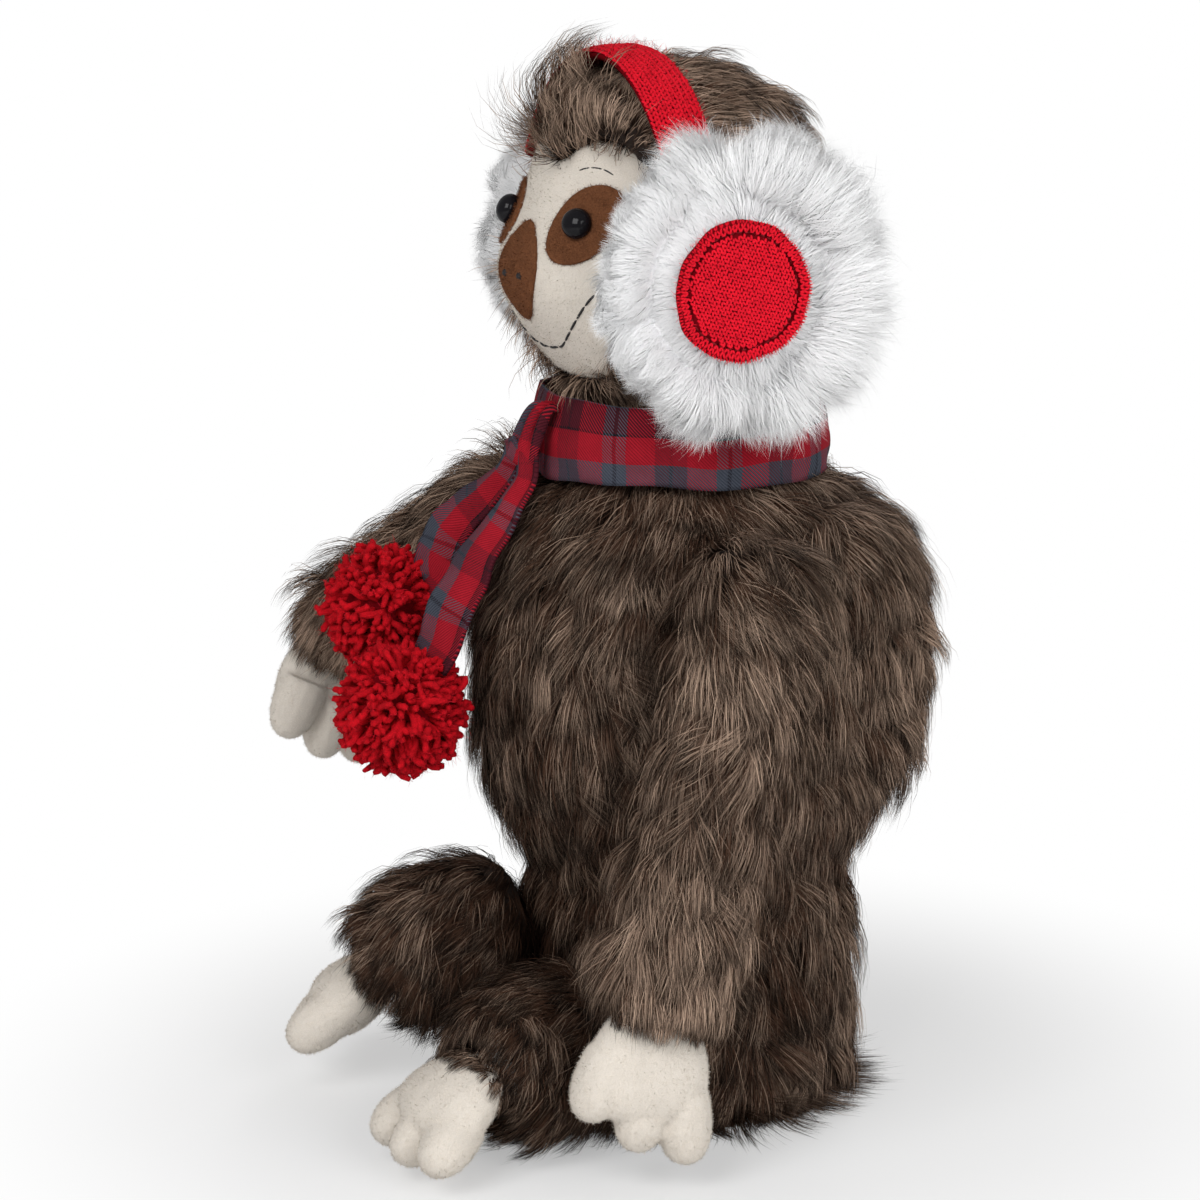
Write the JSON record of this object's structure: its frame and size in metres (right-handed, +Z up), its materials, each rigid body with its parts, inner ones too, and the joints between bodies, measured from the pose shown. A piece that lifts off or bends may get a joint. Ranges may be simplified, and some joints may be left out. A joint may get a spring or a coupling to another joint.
{
  "type": "plush sloth",
  "caption": "Seated long-fur plush sloth with a velour face, turning head with fluffy earmuffs, swinging arms, folding legs and a plaid scarf that ends in yarn pompoms.",
  "frame": {"origin": "on the flat seat, under the middle of the neck", "axes": "+Z up along the neck, -Y the way the sloth faces, +X its own left side"},
  "size_m": [0.2726, 0.2206, 0.356],
  "materials": {
    "brown_fur": "long frosted faux fur, dark brown tips over taupe roots",
    "stuffing": "white polyester fibre filling",
    "pellet_cloth": "grey cloth bag of plastic pellets",
    "cream_velour": "short-pile cream velour",
    "brown_felt": "short-pile brown felt",
    "eye_plastic": "glossy black dome",
    "washer_plastic": "plain moulded washer",
    "red_knit": "red rib-knit acrylic",
    "white_fluff": "long white faux fur",
    "plaid_cloth": "twill woven check in reds, slate and black",
    "red_yarn": "twisted red acrylic yarn, cut ends"
  },
  "bodies": {
    "torso": {"torso_skin": "brown_fur", "torso_stuffing": "stuffing", "pellet_bag": "pellet_cloth", "scarf_wrap": "plaid_cloth", "scarf_knot": "plaid_cloth"},
    "head": {"head_skin": "brown_fur", "face_panel": "cream_velour", "head_stuffing": "stuffing", "nose_patch": "brown_felt", "eye_patch_left": "brown_felt", "eye_patch_right": "brown_felt", "eye_left": "eye_plastic", "eye_right": "eye_plastic", "eye_washer_left": "washer_plastic", "eye_washer_right": "washer_plastic", "headband": "red_knit", "muff_left": "white_fluff", "muff_right": "white_fluff", "muff_filling_left": "stuffing", "muff_filling_right": "stuffing", "muff_disc_left": "red_knit", "muff_disc_right": "red_knit"},
    "arm_left": {"arm_skin_left": "brown_fur", "arm_stuffing_left": "stuffing", "hand_left": "cream_velour"},
    "arm_right": {"arm_skin_right": "brown_fur", "arm_stuffing_right": "stuffing", "hand_right": "cream_velour"},
    "leg_left": {"leg_skin_left": "brown_fur", "leg_stuffing_left": "stuffing", "foot_left": "cream_velour"},
    "leg_right": {"leg_skin_right": "brown_fur", "leg_stuffing_right": "stuffing", "foot_right": "cream_velour"},
    "scarf_tails": {"scarf_tail_front": "plaid_cloth", "scarf_tail_back": "plaid_cloth", "pompom_front": "red_yarn", "pompom_back": "red_yarn"}
  },
  "joints": [
    {"name": "head_turn", "type": "hinge", "parent": "torso", "child": "head", "pos_m": [0, 0, 0.23585], "axis": [0, 0, 1], "range_deg": [-20, 20]},
    {"name": "arm_left_swing", "type": "hinge", "parent": "torso", "child": "arm_left", "pos_m": [0.05815, -0.022, 0.193], "axis": [-1, 0, 0], "range_deg": [-10, 80]},
    {"name": "arm_right_swing", "type": "hinge", "parent": "torso", "child": "arm_right", "pos_m": [-0.05815, -0.022, 0.193], "axis": [-1, 0, 0], "range_deg": [-10, 80]},
    {"name": "leg_left_fold", "type": "hinge", "parent": "torso", "child": "leg_left", "pos_m": [0.033, -0.04615, 0.058], "axis": [-1, 0, 0], "range_deg": [0, 60]},
    {"name": "leg_right_fold", "type": "hinge", "parent": "torso", "child": "leg_right", "pos_m": [-0.033, -0.04615, 0.0815], "axis": [-1, 0, 0], "range_deg": [0, 60]},
    {"name": "scarf_tails_lift", "type": "hinge", "parent": "torso", "child": "scarf_tails", "pos_m": [-0.006, -0.0548, 0.2211], "axis": [-1, 0, 0], "range_deg": [0, 45]}
  ]
}
